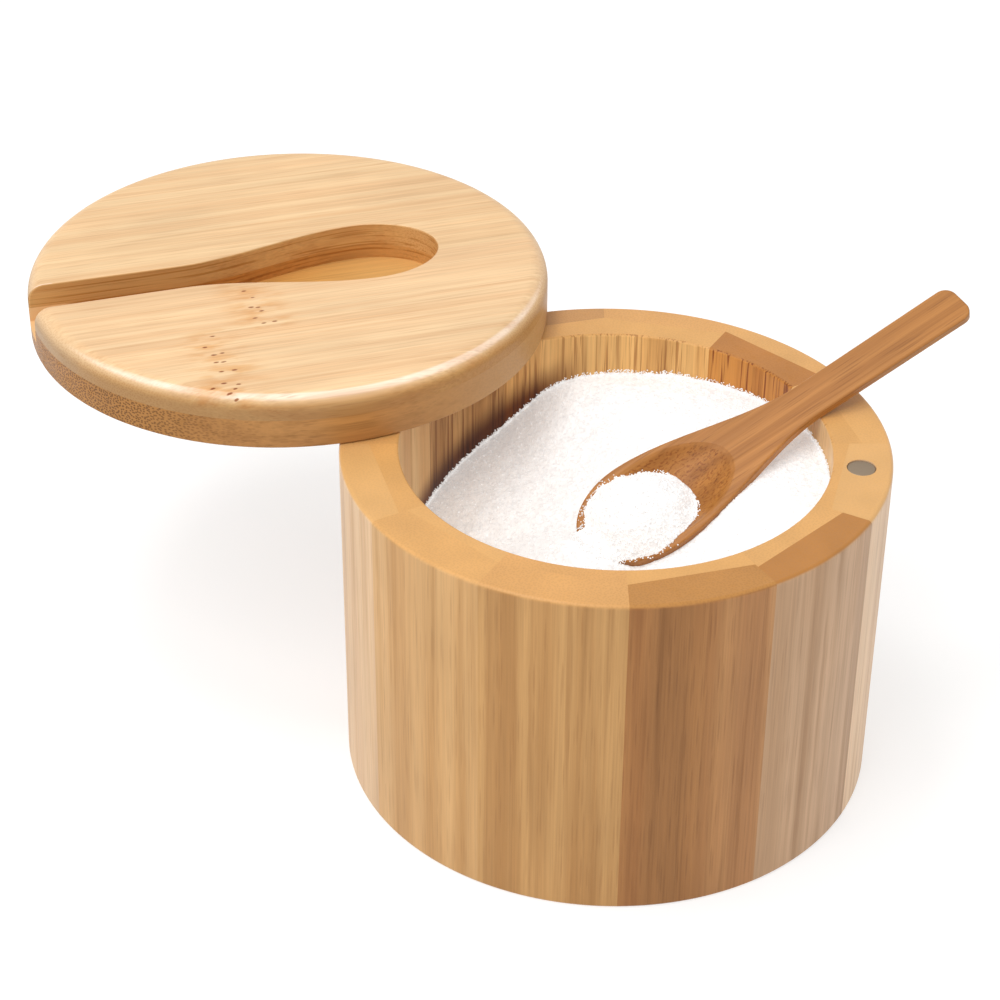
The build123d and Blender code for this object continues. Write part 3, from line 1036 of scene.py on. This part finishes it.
# %% One crystal
bpy.ops.object.select_all(action="DESELECT")
bpy.ops.mesh.primitive_cube_add(size=1)
crystal = bpy.context.object
bpy.ops.object.mode_set(mode="EDIT")
for corner, normal in (((0.3, 0.3, 0.3), (1, 1, 0.7)), ((-0.35, 0.2, -0.3), (-1, 0.6, -1))):
    bpy.ops.mesh.select_all(action="SELECT")
    bpy.ops.mesh.bisect(plane_co=corner, plane_no=normal, use_fill=True, clear_outer=True)
bpy.ops.object.mode_set(mode="OBJECT")
print("crystal", len(crystal.data.polygons), "faces")

# %% Crystals on points
least_crystal, greatest_crystal = 0.10 * MM, 0.26 * MM
turn_seed, size_seed = 5, 9

scatter = bpy.data.node_groups.new("crystals", "GeometryNodeTree")
for way in ("INPUT", "OUTPUT"):
    scatter.interface.new_socket("Geometry", in_out=way, socket_type="NodeSocketGeometry")
points = scatter.nodes.new("NodeGroupInput")
pattern = scatter.nodes.new("GeometryNodeObjectInfo")
pattern.inputs["Object"].default_value = crystal
copies = scatter.nodes.new("GeometryNodeInstanceOnPoints")
real = scatter.nodes.new("GeometryNodeRealizeInstances")
scattered = scatter.nodes.new("NodeGroupOutput")
random_turn, random_size = (scatter.nodes.new("FunctionNodeRandomValue") for _ in range(2))
for random, least, most, seed in (
        (random_turn, (0, 0, 0), (2 * pi,) * 3, turn_seed),
        (random_size, (least_crystal,) * 3, (greatest_crystal,) * 3, size_seed)):
    random.data_type = "FLOAT_VECTOR"
    random.inputs["Min"].default_value = least
    random.inputs["Max"].default_value = most
    random.inputs["Seed"].default_value = seed
for source, output, target, socket in (
        (points, "Geometry", copies, "Points"), (pattern, "Geometry", copies, "Instance"),
        (random_turn, "Value", copies, "Rotation"), (random_size, "Value", copies, "Scale"),
        (copies, "Instances", real, "Geometry"), (real, "Geometry", scattered, "Geometry")):
    scatter.links.new(source.outputs[output], target.inputs[socket])


def lay_crystals(name, places, body):
    """A crystal on each place, as one piece that rides on a body."""
    mesh = bpy.data.meshes.new(name)
    mesh.from_pydata(places, [], [])
    piece = bpy.data.objects.new(name, mesh)
    bpy.context.collection.objects.link(piece)
    bpy.ops.object.select_all(action="DESELECT")
    piece.select_set(True)
    bpy.context.view_layer.objects.active = piece
    piece.modifiers.new("crystals", "NODES").node_group = scatter
    bpy.ops.object.modifier_apply(modifier="crystals")
    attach(piece, body)
    print(name, len(places), "crystals,", len(piece.data.polygons), "faces")
    return piece


# %% Crystals in the well
chance = Random(11)
bed_crystals = 3500
wall_crystals = 3600
bed_inset = 0.15 * MM
climb_rate, highest_climb = 3.5, 0.8


def in_disc(radius):
    """A random place in a disc, evenly spread."""
    heading = chance.uniform(0, 2 * pi)
    away = radius * sqrt(chance.random())
    return away * cos(heading), away * sin(heading)


places = []
while len(places) < bed_crystals:
    x, y = in_disc(bed_radius - bed_inset)
    if spoon_wood.ray_cast(Vector((x, y, 0)), UP)[0] is None:
        places.append((x, y, salt_height(x, y) + chance.uniform(-0.08, 0.06) * MM))
while len(places) < bed_crystals + wall_crystals:
    heading = chance.uniform(0, 2 * pi)
    away = bed_radius - chance.uniform(0.12, 0.5) * MM
    x, y = away * cos(heading), away * sin(heading)
    climb = min(chance.expovariate(climb_rate), highest_climb) * MM
    places.append((x, y, salt_height(x, y) + climb))
loose = lay_crystals("salt_crystals", places, "body")

# %% Crystals on the spoon
heap_crystals = 1800
heap_disc_radius = 12.5 * MM
# how fast crystals thin out: under the wood, and away from the line where salt meets wood
buried_fade, line_fade = 0.45 * MM, 0.4 * MM
share_everywhere = 0.25

places = []
while len(places) < heap_crystals:
    x, y = in_disc(heap_disc_radius)
    x, y = x + heap_middle.x, y + heap_middle.y
    wood = wood_height(x, y)
    top = heap_top(x, y)
    if wood is None and top < -0.3 * MM:
        continue
    if wood is not None and top < wood and chance.random() > exp((top - wood) / buried_fade):
        continue
    if wood is not None and chance.random() > share_everywhere + exp(-abs(top - wood) / line_fade):
        continue
    surface = top if wood is None else max(top, wood + 0.1 * MM)
    places.append(spoon_frame @ Vector((x, y, surface + chance.uniform(-0.05, 0.15) * MM)))
spooned = lay_crystals("spoonful_crystals", places, "spoon_body")
bpy.data.objects.remove(crystal)

# %% [markdown]
# Salt is clear, so light goes deep into it and comes out again where no lamp reaches. That
# keeps a heap of it bright even in the shade. A weak glow does the same here, and costs less
# than light that really wanders under the surface.

# %% Salt finish
salt_glow = 0.34
salt_cell = 0.5 * MM
salt_bump, salt_relief, salt_roughness = 0.6, 0.2 * MM, 0.5
light_cell, dark_cell = (0.76, 0.76, 0.76, 1), (0.56, 0.555, 0.555, 1)

salt, tree, shader = new_finish("salt")
place = put(tree, "TexCoord").outputs["Object"]
crystals = put(tree, "TexVoronoi", {"Vector": place, "Scale": 1 / salt_cell})
tint = put(tree, "SeparateColor", {"Color": crystals.outputs["Color"]}).outputs["Red"]
colour = mix(tree, tint, light_cell, dark_cell)
relief = put(tree, "Bump", {"Strength": salt_bump, "Distance": salt_relief,
                            "Height": crystals.outputs["Distance"]})
fill(tree, shader, {"Base Color": colour, "Normal": relief.outputs[0],
                    "Roughness": salt_roughness, "Emission Color": (1, 0.99, 0.98, 1),
                    "Emission Strength": salt_glow})
salt_pieces = (bed, heap, loose, spooned)
for piece in salt_pieces:
    dress(piece, salt)
print("salt on", len(salt_pieces), "pieces")
